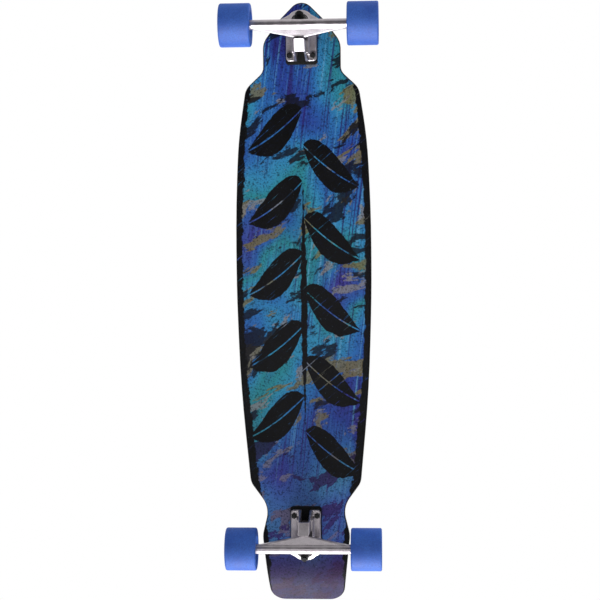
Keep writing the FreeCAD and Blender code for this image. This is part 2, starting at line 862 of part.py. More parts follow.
def make_tyre():
    """Cast urethane tyre: rounded lips and a recess on each face, cast around the core."""
    outside = core_diameter / 2
    rib = core_rib_diameter / 2
    middle = (bearing_start + bearing_end) / 2
    tread = wheel_diameter / 2
    profile = (
        (inner_mouth_diameter / 2, wheel_inside, wheel_mouth_radius),
        (tread, wheel_inside, wheel_lip_radius),
        (tread, wheel_outside, wheel_lip_radius),
        (outer_mouth_diameter / 2, wheel_outside, wheel_mouth_radius),
        (outside, bearing_end, 0),
        (outside, middle + core_rib_width / 2, 0), (rib, middle + core_rib_width / 2, 0),
        (rib, middle - core_rib_width / 2, 0), (outside, middle - core_rib_width / 2, 0),
        (outside, bearing_start, 0),
    )
    return turned(profile, Vector(0, 0, 0), side_dir)


def save(name, solids):
    """Write one node's solids."""
    shape = solids[0] if len(solids) == 1 else Part.makeCompound(solids)
    shape.exportStep("parts/" + name + ".step")


def save_trucks():
    """Both trucks' own pieces, front and rear."""
    pieces = {
        "riser_pad": [make_riser_pad()],
        "baseplate": [make_baseplate()],
        "mounting_bolts": make_mounting_bolts(),
        "mounting_nuts": make_mounting_nuts(),
        "kingpin": [make_kingpin()],
        "kingpin_nut": [make_kingpin_nut()],
        "pivot_cup": [make_pivot_cup()],
        "board_bushing": [make_board_bushing()],
        "road_bushing": [make_road_bushing()],
        "board_washer": [make_washer(board_washer_diameter, seat_across)],
        "road_washer": [make_washer(road_washer_diameter, nut_across - washer_thickness)],
        "hanger": [make_hanger()],
        "axle": [make_axle()],
        "axle_nuts": make_axle_nuts(),
        "speed_washers": make_speed_washers(),
        "bearing_spacers": make_bearing_spacers(),
        "bearing_inner_rings": make_inner_rings(),
    }
    for name, solids in pieces.items():
        save("front_" + name, [at_front(solid) for solid in solids])
        save("rear_" + name, [at_rear(solid) for solid in solids])


def save_wheels():
    """Four wheels: tyre, core and the bearing parts that turn with them."""
    pieces = {
        "tyre": [make_tyre()],
        "wheel_core": [make_core()],
        "bearing_outer_rings": make_outer_rings(),
        "bearing_balls": make_balls(),
        "bearing_shields": make_shields(),
    }
    for end, axle_x in (("front", front_axle_x), ("rear", rear_axle_x)):
        for side, angle in (("left", 0), ("right", 180)):
            for name, solids in pieces.items():
                moved = [solid.copy() for solid in solids]
                for solid in moved:
                    solid.rotate(Vector(0, 0, 0), up_dir, angle)
                    solid.translate(Vector(axle_x, 0, axle_z))
                save(end + "_" + side + "_" + name, moved)


os.makedirs("parts", exist_ok=True)
save("deck", [make_deck()])
save("grip_tape", [make_grip_tape()])
save_trucks()
save_wheels()
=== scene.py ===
import json
import math

import bpy
import bmesh
import numpy as np
from mathutils import Matrix, Vector


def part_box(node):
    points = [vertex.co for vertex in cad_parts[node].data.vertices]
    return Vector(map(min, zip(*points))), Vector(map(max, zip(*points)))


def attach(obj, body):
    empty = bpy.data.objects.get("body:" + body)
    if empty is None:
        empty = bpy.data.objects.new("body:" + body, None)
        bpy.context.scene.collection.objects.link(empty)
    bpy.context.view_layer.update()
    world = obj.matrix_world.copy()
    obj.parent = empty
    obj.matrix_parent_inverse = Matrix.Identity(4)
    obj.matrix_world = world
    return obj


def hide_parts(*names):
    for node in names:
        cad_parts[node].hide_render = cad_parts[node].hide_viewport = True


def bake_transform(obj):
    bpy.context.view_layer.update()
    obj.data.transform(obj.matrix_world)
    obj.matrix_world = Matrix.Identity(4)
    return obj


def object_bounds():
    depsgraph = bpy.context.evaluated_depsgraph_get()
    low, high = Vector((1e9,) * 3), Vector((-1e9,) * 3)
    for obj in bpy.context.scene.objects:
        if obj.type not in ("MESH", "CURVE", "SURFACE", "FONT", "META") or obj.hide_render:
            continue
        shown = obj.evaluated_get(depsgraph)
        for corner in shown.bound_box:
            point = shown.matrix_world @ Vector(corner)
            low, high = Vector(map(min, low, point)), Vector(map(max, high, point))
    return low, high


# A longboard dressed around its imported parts. Metres, +X to the nose, +Z up.
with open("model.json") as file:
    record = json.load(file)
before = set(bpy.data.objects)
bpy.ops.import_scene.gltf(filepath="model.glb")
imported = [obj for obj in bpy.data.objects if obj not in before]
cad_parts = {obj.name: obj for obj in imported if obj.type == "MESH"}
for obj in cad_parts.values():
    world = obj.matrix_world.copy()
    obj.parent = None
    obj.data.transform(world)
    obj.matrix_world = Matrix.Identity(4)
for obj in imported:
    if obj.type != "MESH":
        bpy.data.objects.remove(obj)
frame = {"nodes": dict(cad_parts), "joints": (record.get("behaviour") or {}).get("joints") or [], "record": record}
cadBox = [list(corner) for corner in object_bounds()]
nodes = frame["nodes"]
joints = {joint["name"]: joint for joint in frame["joints"]}


# Helpers for shader trees

def feed(tree, node, inputs):
    # a socket is linked, a plain value is set on the node's own input
    for name, value in inputs.items():
        if isinstance(value, bpy.types.NodeSocket):
            tree.links.new(value, node.inputs[name])
        else:
            node.inputs[name].default_value = value
    return node


def addNode(tree, kind, inputs=None, **settings):
    node = tree.nodes.new("ShaderNode" + kind)
    for name, value in settings.items():
        setattr(node, name, value)
    return feed(tree, node, inputs or {})


def calc(tree, operation, first, second=0.0):
    return addNode(tree, "Math", {0: first, 1: second}, operation=operation).outputs[0]


def remap(tree, value, low, high, toLow=0.0, toHigh=1.0):
    # smooth step from toLow to toHigh while value runs from low to high
    sockets = {"Value": value, "From Min": low, "From Max": high, "To Min": toLow, "To Max": toHigh}
    return addNode(tree, "MapRange", sockets, interpolation_type="SMOOTHSTEP").outputs["Result"]


def mixColour(tree, factor, first, second):
    return addNode(tree, "Mix", {0: factor, 6: first, 7: second}, data_type="RGBA").outputs[2]


def noise(tree, vector, scale, detail=3.0, roughness=0.55, seed=0.0):
    sockets = {"Vector": vector, "W": seed, "Scale": scale, "Detail": detail, "Roughness": roughness}
    return addNode(tree, "TexNoise", sockets, noise_dimensions="4D").outputs[0]


def stretched(tree, vector, turn, scale):
    # coordinates turned in the board's plane, then stretched
    turns = (0.0, 0.0, math.radians(turn))
    sockets = {"Vector": vector, "Scale": scale, "Rotation": turns}
    return addNode(tree, "Mapping", sockets, vector_type="TEXTURE").outputs[0]


def shade(red, green, blue):
    # printed colour, 0 to 255, as the linear colour that the shader works in
    return tuple(((c / 255 + 0.055) / 1.055) ** 2.4 for c in (red, green, blue)) + (1.0,)


def ramp(tree, factor, stops):
    node = addNode(tree, "ValToRGB", {"Fac": factor})
    elements = node.color_ramp.elements
    while len(elements) < len(stops):
        elements.new(1.0)
    for element, (place, colour) in zip(elements, stops):
        element.position = place
        element.color = colour
    return node.outputs[0]


def bump(tree, height, distance):
    return addNode(tree, "Bump", {"Height": height, "Distance": distance}).outputs[0]


def newGroup(name, inputs, outputs):
    # an input with no default is a vector, the others are numbers, and so are all outputs
    group = bpy.data.node_groups.new(name, "ShaderNodeTree")
    for label, default in inputs.items():
        kind = "NodeSocketVector" if default is None else "NodeSocketFloat"
        socket = group.interface.new_socket(name=label, in_out="INPUT", socket_type=kind)
        if default is not None:
            socket.default_value = default
    for label in outputs:
        group.interface.new_socket(name=label, in_out="OUTPUT", socket_type="NodeSocketFloat")
    return group, group.nodes.new("NodeGroupInput").outputs, group.nodes.new("NodeGroupOutput").inputs


def useGroup(tree, group, inputs):
    return addNode(tree, "Group", inputs, node_tree=group).outputs


def newMaterial(name):
    material = bpy.data.materials.new(name)
    material.use_nodes = True
    tree = material.node_tree
    place = addNode(tree, "TexCoord").outputs["Object"]
    return material, tree, tree.nodes["Principled BSDF"], place


# Shared effects as node groups

grainLook = {
    "patchScale": 30.0, "grainScale": 900.0, "patchDetail": 3.0, "grainDetail": 2.0, "grainRoughness": 0.6,
}
edgeLook = {
    "radius": 0.001, "samples": 4, "flat": 0.995, "wornAndLit": 0.85,
    "breakScale": 160.0, "breakDetail": 4.0, "breakCut": {"low": 0.35, "high": 0.65},
}
tearLook = {"scale": 8.0, "seed": 0.0, "level": 0.56, "detail": 8.0, "roughness": 0.62, "softness": 0.012}


def grainGroup(look):
    # two noises: a slow one for patches, a fine one for grain
    scales = {"Patch Scale": look["patchScale"], "Grain Scale": look["grainScale"]}
    group, given, result = newGroup("surfaceGrain", {"Vector": None, **scales}, ["Patch", "Grain"])
    slow = noise(group, given["Vector"], given["Patch Scale"], look["patchDetail"])
    fine = noise(group, given["Vector"], given["Grain Scale"], look["grainDetail"], look["grainRoughness"])
    group.links.new(slow, result["Patch"])
    group.links.new(fine, result["Grain"])
    return group


def edgeGroup(look):
    # how far the rounded-off normal leans from the true one marks the edges, broken up by noise
    sizes = {"Radius": look["radius"], "Break Scale": look["breakScale"]}
    group, given, result = newGroup("edgeWearAndHighlight", {"Vector": None, **sizes}, ["Mask"])
    rounded = addNode(group, "Bevel", {"Radius": given["Radius"]}, samples=look["samples"]).outputs[0]
    true = addNode(group, "NewGeometry").outputs["Normal"]
    dot = addNode(group, "VectorMath", {0: rounded, 1: true}, operation="DOT_PRODUCT").outputs["Value"]
    edge = remap(group, dot, look["flat"], look["wornAndLit"])
    gaps = noise(group, given["Vector"], given["Break Scale"], look["breakDetail"])
    broken = remap(group, gaps, **look["breakCut"])
    group.links.new(calc(group, "MULTIPLY", edge, broken), result["Mask"])
    return group


def depthGroup(bend):
    # depth through the board: distance from the underside, measured square to it, also on the bent tail
    group, given, result = newGroup("boardDepth", {"Vector": None}, ["Depth"])
    split = addNode(group, "SeparateXYZ", {0: given["Vector"]}).outputs
    back = calc(group, "SUBTRACT", bend["x"], split["X"])
    down = calc(group, "SUBTRACT", bend["z"], split["Z"])
    angle = calc(group, "ARCTAN2", back, down)
    angle = calc(group, "MINIMUM", calc(group, "MAXIMUM", angle, 0.0), bend["angle"])
    across = calc(group, "MULTIPLY", back, calc(group, "SINE", angle))
    along = calc(group, "MULTIPLY", down, calc(group, "COSINE", angle))
    fromCentre = calc(group, "ADD", across, along)
    group.links.new(calc(group, "SUBTRACT", bend["radius"], fromCentre), result["Depth"])
    return group


def tearGroup(look):
    # torn patches: rough noise, cut off at a level with a narrow soft rim
    values = {"Scale": look["scale"], "Seed": look["seed"], "Level": look["level"]}
    group, given, result = newGroup("tornPatch", {"Vector": None, **values}, ["Mask"])
    rough = noise(group, given["Vector"], given["Scale"], look["detail"], look["roughness"], given["Seed"])
    above = calc(group, "SUBTRACT", rough, given["Level"])
    group.links.new(remap(group, above, -look["softness"], look["softness"]), result["Mask"])
    return group


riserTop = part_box("front_riser_pad")[1].z
rearAxle = Vector(joints["rear_left_spin"]["pos_m"])
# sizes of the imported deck, and the cylinder that its tail bends round
boardLook = {"thickness": 0.012, "kickStart": 0.034, "kickRadius": 0.085, "kickAngle": 30.0}
kickBend = {
    "x": rearAxle.x - boardLook["kickStart"],
    "z": riserTop + boardLook["thickness"] + boardLook["kickRadius"],
    "radius": boardLook["thickness"] + boardLook["kickRadius"],
    "angle": math.radians(boardLook["kickAngle"]),
}
surfaceGrain = grainGroup(grainLook)
edgeWearAndHighlight = edgeGroup(edgeLook)
boardDepth = depthGroup(kickBend)
tornPatch = tearGroup(tearLook)
print("shared effects made")


# Printed deck: washes of colour, streaks, torn patches, leaves on a spine, a dark ragged border, speckle

printLook = {
    "wash": {
        "bendScale": 6.0, "bendDetail": 2.0, "bendMiddle": (0.5, 0.5, 0.5), "bendReach": 0.10,
        "turn": 20.0, "stretch": (1.6, 1.0, 1.0),
        "field": {"scale": 7.0, "detail": 2.0, "roughness": 0.4, "seed": 3.0},
        "stops": [
            (0.30, shade(62, 53, 146)), (0.38, shade(44, 78, 170)), (0.46, shade(49, 121, 196)),
            (0.52, shade(57, 153, 200)), (0.58, shade(48, 149, 162)), (0.64, shade(48, 106, 186)),
            (0.72, shade(68, 61, 156)),
        ],
    },
    "streaks": {
        "turn": 7.0, "stretch": (0.30, 0.0045, 1.0), "field": {"scale": 1.0, "detail": 4.0, "roughness": 0.6},
        "zone": {"scale": 5.0, "detail": 2.0, "roughness": 0.5, "seed": 8.0},
        "zoneCut": {"low": 0.40, "high": 0.56},
        "layers": [
            {"cut": {"low": 0.54, "high": 0.64, "toHigh": 0.65}, "colour": shade(109, 181, 225)},
            {"cut": {"low": 0.48, "high": 0.40, "toHigh": 0.80}, "colour": shade(46, 34, 112)},
        ],
    },
    "patches": {
        "turn": 58.0, "stretch": (0.55, 0.22, 1.0),
        "layers": [
            {"scale": 5.5, "seed": 4.7, "level": 0.588, "colour": shade(128, 116, 53), "strength": 0.80},
            {"scale": 8.0, "seed": 5.9, "level": 0.602, "colour": shade(145, 143, 141), "strength": 0.75},
            {"scale": 7.0, "seed": 6.4, "level": 0.570, "colour": shade(16, 16, 28), "strength": 0.92},
        ],
    },
    "tail": [  # distances ahead of the line where the tail starts to bend
        {"start": 0.32, "full": 0.06, "strength": 0.55, "colour": shade(76, 58, 140)},
        # painted sheen: greyed purple standing for hazy light reflected off the bent tail
        {"start": 0.05, "full": -0.03, "strength": 0.85, "colour": shade(54, 30, 64)},
    ],
    "dust": {
        "dirt": {"scale": 120.0, "detail": 4.0, "roughness": 0.7, "seed": 5.0},
        "specks": {"scale": 300.0, "detail": 3.0, "roughness": 0.8, "seed": 2.0},
        "layers": [
            {"of": "dirt", "cut": {"low": 0.55, "high": 0.66, "toHigh": 0.46}, "colour": shade(16, 18, 34)},
            {"of": "specks", "cut": {"low": 0.51, "high": 0.60, "toHigh": 0.66}, "colour": shade(12, 14, 28)},
            {
                "of": "specks", "cut": {"low": 0.36, "high": 0.30, "toHigh": 0.35},
                "colour": shade(126, 160, 190),
            },
        ],
    },
}
leafLook = {
    "ink": shade(6, 6, 8), "rough": {"scale": 46.0, "detail": 7.0, "roughness": 0.72, "seed": 1.0},
    "roughMiddle": 0.5, "ragged": 0.015, "rim": 0.0006,
    "period": 0.128, "pairs": 5, "slope": 1.05, "curve": 3.0, "width": 0.037, "inner": 0.001, "outer": 0.100,
    "fullness": 0.75, "rib": 0.0010, "ribRim": 1.6, "ribRagged": 0.12,
    "spine": 0.0060, "spineTip": -0.004, "spineReach": 0.37,
    "halfWidth": 0.1215, "halfTail": 0.078, "narrowing": 0.17, "widest": 0.075,
    "border": 0.013, "borderRim": 0.0015, "borderRagged": 1.6,
    "dryTurn": 50.0, "dryStretch": (0.10, 0.0035, 1.0),
    "dry": {"scale": 1.0, "detail": 5.0, "roughness": 0.72}, "dryCut": {"low": 0.66, "high": 0.60},
}


def bentPlace(tree, place, look):
    # coordinates pushed about by slow noise in three channels
    sockets = {"Vector": place, "Scale": look["bendScale"], "Detail": look["bendDetail"]}
    bend = addNode(tree, "TexNoise", sockets).outputs["Color"]
    bend = addNode(tree, "VectorMath", {0: bend, 1: look["bendMiddle"]}, operation="SUBTRACT").outputs[0]
    bend = addNode(tree, "VectorMath", {0: bend, "Scale": look["bendReach"]}, operation="SCALE").outputs[0]
    return addNode(tree, "VectorMath", {0: place, 1: bend}).outputs[0]


def washColour(tree, bent, look):
    # slow noise on the bent coordinates picks the colour from a row of stops
    field = noise(tree, stretched(tree, bent, look["turn"], look["stretch"]), **look["field"])
    return ramp(tree, field, look["stops"])


def addStreaks(tree, place, colour, look):
    # long thin noise, light where it is high and deep where it is low, in zones of slow noise
    streaks = noise(tree, stretched(tree, place, look["turn"], look["stretch"]), **look["field"])
    zone = remap(tree, noise(tree, place, **look["zone"]), **look["zoneCut"])
    for layer in look["layers"]:
        mask = calc(tree, "MULTIPLY", remap(tree, streaks, **layer["cut"]), zone)
        colour = mixColour(tree, mask, colour, layer["colour"])
    return colour


def addPatches(tree, bent, colour, look):
    torn = stretched(tree, bent, look["turn"], look["stretch"])
    for patch in look["layers"]:
        values = {"Scale": patch["scale"], "Seed": patch["seed"], "Level": patch["level"]}
        mask = useGroup(tree, tornPatch, {"Vector": torn, **values})["Mask"]
        colour = mixColour(tree, calc(tree, "MULTIPLY", mask, patch["strength"]), colour, patch["colour"])
    return colour


def addTailTintAndSheen(tree, along, colour, layers):
    # nearing the tail the print turns purple, then a painted sheen of greyed purple covers the bent end
    for layer in layers:
        start, full = kickBend["x"] + layer["start"], kickBend["x"] + layer["full"]
        mask = remap(tree, along, start, full, 0.0, layer["strength"])
        colour = mixColour(tree, mask, colour, layer["colour"])
    return colour


def addDust(tree, place, colour, look):
    # dirt and dark specks where the noise is high, pale specks where it is low
    fields = {name: noise(tree, place, **look[name]) for name in ("dirt", "specks")}
    for layer in look["layers"]:
        mask = remap(tree, fields[layer["of"]], **layer["cut"])
        colour = mixColour(tree, mask, colour, layer["colour"])
    return colour


def leafMask(tree, split, side, ragged, look):
    # curved leaves swept back from the spine: along plus side times a slope that eases outwards, cut into
    # periods, left and right staggered by half of one; a sine over the side gives the width, less a clear rib
    stagger = calc(tree, "MULTIPLY", calc(tree, "SIGN", split["Y"]), look["period"] / 4)
    slope = calc(tree, "SUBTRACT", look["slope"], calc(tree, "MULTIPLY", side, look["curve"]))
    swept = calc(tree, "ADD", calc(tree, "ADD", split["X"], stagger), calc(tree, "MULTIPLY", side, slope))
    turn = calc(tree, "DIVIDE", swept, look["period"])
    cell = calc(tree, "SUBTRACT", calc(tree, "FRACT", turn), 0.5)
    gap = calc(tree, "MULTIPLY", calc(tree, "ABSOLUTE", cell), look["period"])
    kept = calc(tree, "LESS_THAN", calc(tree, "ABSOLUTE", calc(tree, "FLOOR", turn)), look["pairs"] / 2)
    share = calc(tree, "DIVIDE", calc(tree, "SUBTRACT", side, look["inner"]), look["outer"])
    share = calc(tree, "MINIMUM", calc(tree, "MAXIMUM", share, 0.0), 1.0)
    belly = calc(tree, "SINE", calc(tree, "MULTIPLY", calc(tree, "POWER", share, look["fullness"]), math.pi))
    past = calc(tree, "SUBTRACT", gap, calc(tree, "MULTIPLY", belly, look["width"]))
    leaf = remap(tree, calc(tree, "ADD", past, ragged), look["rim"], -look["rim"])
    rib = calc(tree, "ADD", gap, calc(tree, "MULTIPLY", ragged, look["ribRagged"]))
    leaf = calc(tree, "MULTIPLY", leaf, remap(tree, rib, look["rib"], look["rib"] * look["ribRim"]))
    return calc(tree, "MULTIPLY", leaf, kept)


def spineMask(tree, split, side, ragged, look):
    # a line along the middle, whose half width tapers from the centre of the board to both ends
    along = calc(tree, "ABSOLUTE", split["X"])
    taper = remap(tree, along, look["spineReach"], 0.0, look["spineTip"], look["spine"])
    past = calc(tree, "SUBTRACT", calc(tree, "ADD", side, ragged), taper)
    return remap(tree, past, look["rim"], -look["rim"])


def borderMask(tree, split, side, ragged, look):
    # distance in from the half width, which falls with the square of the distance from the widest line
    offset = calc(tree, "SUBTRACT", split["X"], look["widest"])
    narrowed = calc(tree, "MULTIPLY", calc(tree, "MULTIPLY", offset, offset), look["narrowing"])
    half = calc(tree, "MAXIMUM", calc(tree, "SUBTRACT", look["halfWidth"], narrowed), look["halfTail"])
    uneven = calc(tree, "MULTIPLY", ragged, look["borderRagged"])
    inwards = calc(tree, "ADD", calc(tree, "SUBTRACT", half, side), uneven)
    return remap(tree, inwards, look["border"], look["border"] - look["borderRim"])


def leafInk(tree, place, split, look):
    # leaves, spine and border under one ragged noise, with gaps as from a dry brush
    side = calc(tree, "ABSOLUTE", split["Y"])
    ragged = calc(tree, "SUBTRACT", noise(tree, place, **look["rough"]), look["roughMiddle"])
    ragged = calc(tree, "MULTIPLY", ragged, look["ragged"])
    ink = leafMask(tree, split, side, ragged, look)
    for mask in (spineMask, borderMask):
        ink = calc(tree, "MAXIMUM", ink, mask(tree, split, side, ragged, look))
    dry = noise(tree, stretched(tree, place, look["dryTurn"], look["dryStretch"]), **look["dry"])
    return calc(tree, "MULTIPLY", ink, remap(tree, dry, **look["dryCut"]))


def printColour(tree, place, split, look):
    bent = bentPlace(tree, place, look["wash"])
    colour = washColour(tree, bent, look["wash"])
    colour = addStreaks(tree, place, colour, look["streaks"])
    colour = addPatches(tree, bent, colour, look["patches"])
    colour = addTailTintAndSheen(tree, split["X"], colour, look["tail"])
    colour = mixColour(tree, leafInk(tree, place, split, leafLook), colour, leafLook["ink"])
    return addDust(tree, place, colour, look["dust"])


deckLook = {
    "plies": 9, "paleShare": 0.5, "paleFrom": 0.0026, "dark": shade(20, 18, 18), "pale": shade(52, 41, 33),
    "fibreStretch": (0.12, 0.002, 0.0006), "fibre": {"scale": 1.0, "detail": 4.0},
    "fibreCut": {"low": 0.35, "high": 0.65, "toHigh": 0.5}, "fibreColour": shade(12, 10, 10),
    "faceCut": {"low": 0.0007, "high": 0.0003}, "patch": 12.0, "grain": 700.0,
    "roughCut": {"low": 0.3, "high": 0.7, "toLow": 0.38, "toHigh": 0.52}, "depth": 0.00004, "gloss": 0.10,
}
gripLook = {
    "grit": 1500.0, "patch": 9.0, "grain": 1400.0, "toneCut": {"low": 0.3, "high": 0.7},
    "dark": shade(22, 22, 23), "light": shade(33, 33, 34),
    "sparkleCut": {"low": 0.93, "high": 0.97}, "sparkle": shade(120, 122, 126),
    "roughness": 0.95, "sparkleShine": 0.6, "depth": 0.0004,
}


def grainOf(tree, place, look):
    return useGroup(tree, surfaceGrain, {
        "Vector": place, "Patch Scale": look["patch"], "Grain Scale": look["grain"],
    })


def deckMaterial(look):
    # print on the underside, and on the edge dark and pale plies by turns through the depth
    material, tree, surface, place = newMaterial("deckPly")
    split = addNode(tree, "SeparateXYZ", {0: place}).outputs
    depth = useGroup(tree, boardDepth, {"Vector": place})["Depth"]
    pairs = look["plies"] / boardLook["thickness"] / 2  # a dark ply and a pale one, per metre
    ply = calc(tree, "FRACT", calc(tree, "MULTIPLY", depth, pairs))
    inner = calc(tree, "GREATER_THAN", depth, look["paleFrom"])
    pale = calc(tree, "MULTIPLY", calc(tree, "GREATER_THAN", ply, look["paleShare"]), inner)
    plies = mixColour(tree, pale, look["dark"], look["pale"])
    fibres = noise(tree, stretched(tree, place, 0.0, look["fibreStretch"]), **look["fibre"])
    plies = mixColour(tree, remap(tree, fibres, **look["fibreCut"]), plies, look["fibreColour"])
    onFace = remap(tree, depth, **look["faceCut"])
    grain = grainOf(tree, place, look)
    feed(tree, surface, {
        "Base Color": mixColour(tree, onFace, plies, printColour(tree, place, split, printLook)),
        "Roughness": remap(tree, grain["Patch"], **look["roughCut"]),
        "Normal": bump(tree, grain["Grain"], look["depth"]),
        "Specular IOR Level": look["gloss"],
    })
    return material


def gripMaterial(look):
    # cells of grit, of which a few sparkle
    material, tree, surface, place = newMaterial("gripSheet")
    grit = addNode(tree, "TexVoronoi", {"Vector": place, "Scale": look["grit"]}).outputs
    grain = grainOf(tree, place, look)
    cell = addNode(tree, "SeparateColor", {0: grit["Color"]}).outputs[0]
    sparkle = remap(tree, cell, **look["sparkleCut"])
    base = mixColour(tree, remap(tree, grain["Patch"], **look["toneCut"]), look["dark"], look["light"])
    shine = calc(tree, "MULTIPLY", sparkle, look["sparkleShine"])
    feed(tree, surface, {
        "Base Color": mixColour(tree, sparkle, base, look["sparkle"]),
        "Roughness": calc(tree, "SUBTRACT", look["roughness"], shine),
        "Normal": bump(tree, grit["Distance"], look["depth"]),
    })
    return material


# Metal, rubber and urethane

usualFinish = {"toneCut": {"low": 0.3, "high": 0.7}, "roughFrom": 0.25, "roughTo": 0.75}
metalFinish = {**usualFinish, "roughSpread": 0.07, "fleckFrom": 0.45, "fleckTo": 0.30}
softFinish = {
    **usualFinish, "roughSpread": 0.06, "fleckFrom": 0.40, "fleckTo": 0.62,
    "sandDetail": 3.0, "sandRoughness": 0.7,
}
metalLooks = {
    "cast_metal": {
        "patch": 60.0, "grain": 800.0, "depth": 0.0001, "edgeRadius": 0.0012,
        "roughness": 0.38, "metallic": 0.90, "gloss": 0.5, "fleck": 0.6, "pit": shade(98, 93, 97),
        # edge: lighter rims, partly burnished wear and partly a painted highlight along the casting's edges
        "dark": shade(168, 161, 166), "light": shade(190, 184, 189), "edge": shade(224, 220, 223),
    },
    "plated_steel": {
        "patch": 120.0, "grain": 2500.0, "depth": 0.00002, "edgeRadius": 0.0004,
        "roughness": 0.36, "metallic": 0.95, "gloss": 0.5, "fleck": 0.2, "pit": shade(84, 84, 88),
        "dark": shade(112, 112, 117), "light": shade(134, 134, 138), "edge": shade(176, 176, 178),
    },
    "pin_steel": {
        "patch": 120.0, "grain": 2500.0, "depth": 0.00002, "edgeRadius": 0.0004,
        "roughness": 0.62, "metallic": 0.3, "gloss": 0.12, "fleck": 0.2, "pit": shade(18, 18, 20),
        "dark": shade(20, 20, 22), "light": shade(27, 27, 29), "edge": shade(64, 64, 66),
    },
    "black_steel": {
        "patch": 140.0, "grain": 2200.0, "depth": 0.00003, "edgeRadius": 0.0004,
        "roughness": 0.50, "metallic": 0.3, "gloss": 0.5, "fleck": 0.3, "pit": shade(8, 8, 9),
        "dark": shade(13, 13, 14), "light": shade(20, 20, 21), "edge": shade(58, 57, 56),
    },
}
softLooks = {
    "black_rubber": {
        "patch": 40.0, "grain": 1300.0, "depth": 0.00012, "roughness": 0.78, "gloss": 0.18,
        "dark": shade(11, 11, 12), "light": shade(17, 17, 18),
        "sand": 500.0, "fleck": 0.3, "pit": shade(8, 8, 9),
    },
    "black_urethane": {
        "patch": 70.0, "grain": 1800.0, "depth": 0.00004, "roughness": 0.45, "gloss": 0.4,
        "dark": shade(13, 13, 14), "light": shade(20, 20, 22),
        "sand": 600.0, "fleck": 0.2, "pit": shade(9, 9, 10),
    },
    "blue_urethane": {
        "patch": 25.0, "grain": 1200.0, "depth": 0.00005, "roughness": 0.62, "gloss": 0.44,
        "dark": shade(46, 94, 194), "light": shade(62, 113, 212),
        "sand": 420.0, "fleck": 0.45, "pit": shade(38, 76, 160),
    },
    "white_nylon": {
        "patch": 50.0, "grain": 1600.0, "depth": 0.00003, "roughness": 0.42, "gloss": 0.45,
        "dark": shade(212, 213, 214), "light": shade(226, 227, 228),
        "sand": 600.0, "fleck": 0.2, "pit": shade(196, 197, 199),
    },
}


def speckledTone(tree, surface, grain, specks, look, finish):
    # slow patches change the tone and the roughness, specks darken it, and fine grain gives the skin
    low, high = look["roughness"] - finish["roughSpread"], look["roughness"] + finish["roughSpread"]
    feed(tree, surface, {
        "Roughness": remap(tree, grain["Patch"], finish["roughFrom"], finish["roughTo"], low, high),
        "Normal": bump(tree, grain["Grain"], look["depth"]),
        "Specular IOR Level": look["gloss"],
    })
    tone = mixColour(tree, remap(tree, grain["Patch"], **finish["toneCut"]), look["dark"], look["light"])
    fleck = remap(tree, specks, finish["fleckFrom"], finish["fleckTo"], 0.0, look["fleck"])
    return mixColour(tree, fleck, tone, look["pit"])


def metalMaterial(name, look):
    # specks come from the grain; edges are worn or burnished, on cast metal partly a painted highlight
    material, tree, surface, place = newMaterial(name)
    grain = grainOf(tree, place, look)
    tone = speckledTone(tree, surface, grain, grain["Grain"], look, metalFinish)
    edges = useGroup(tree, edgeWearAndHighlight, {"Vector": place, "Radius": look["edgeRadius"]})["Mask"]
    wornAndLit = mixColour(tree, edges, tone, look["edge"])
    feed(tree, surface, {"Base Color": wornAndLit, "Metallic": look["metallic"]})
    return material


def softMaterial(name, look):
    # moulded rubber, urethane or nylon, whose specks are a noise of their own
    material, tree, surface, place = newMaterial(name)
    sand = noise(tree, place, look["sand"], softFinish["sandDetail"], softFinish["sandRoughness"])
    tone = speckledTone(tree, surface, grainOf(tree, place, look), sand, look, softFinish)
    feed(tree, surface, {"Base Color": tone})
    return material


materials = {"deck_ply": deckMaterial(deckLook), "grip_sheet": gripMaterial(gripLook)}
materials.update({name: metalMaterial(name, look) for name, look in metalLooks.items()})
materials.update({name: softMaterial(name, look) for name, look in softLooks.items()})
for subpart in frame["record"]["subparts"]:
    target = nodes[subpart["node"]]
    paint = "pin_steel" if subpart["node"].endswith("_kingpin") else subpart["material_slot"]
    target.data.materials.clear()
    target.data.materials.append(materials[paint])
print("materials made:", len(materials))


# Shapes from grids of points

mergeDistance = 1e-7


def gridQuads(rows, columns, wrapRows):
    # the four corners of each cell of a grid of points, closed round its columns and, if asked, its rows
    row = np.arange(rows if wrapRows else rows - 1)[:, None]
    column = np.arange(columns)[None, :]
    nextRow, nextColumn = (row + 1) % rows, (column + 1) % columns
    corners = np.broadcast_arrays(
        row * columns + column, row * columns + nextColumn,
        nextRow * columns + nextColumn, nextRow * columns + column,
    )
    return np.stack(corners, -1).reshape(-1, 4)


def surfaceMesh(name, grids, wrapRows=False):
    # one mesh of all the grids, each row of points joined to the next by quads
    points = np.concatenate([grid.reshape(-1, 3) for grid in grids])
    starts = np.cumsum([0] + [grid.shape[0] * grid.shape[1] for grid in grids])
    quads = [gridQuads(*grid.shape[:2], wrapRows) + start for grid, start in zip(grids, starts)]
    mesh = bpy.data.meshes.new(name)
    mesh.from_pydata(points.tolist(), [], np.concatenate(quads).tolist())
    return mesh


def tidyMesh(mesh):
    # doubles merged, then faces turned outwards
    work = bmesh.new()
    work.from_mesh(mesh)
    bmesh.ops.remove_doubles(work, verts=work.verts, dist=mergeDistance)
    bmesh.ops.recalc_face_normals(work, faces=work.faces)
    work.to_mesh(mesh)
    work.free()


def addPiece(name, mesh, slot, body=None, replaced=None, crease=40.0, paint=None):
    tidyMesh(mesh)
    mesh.shade_smooth()
    mesh.set_sharp_from_angle(angle=math.radians(crease))
    mesh.materials.clear()
    mesh.materials.append(materials[paint or slot])
    piece = bpy.data.objects.new(name, mesh)
    bpy.context.collection.objects.link(piece)
    if replaced:
        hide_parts(replaced)
    if body:
        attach(piece, body)
    return piece


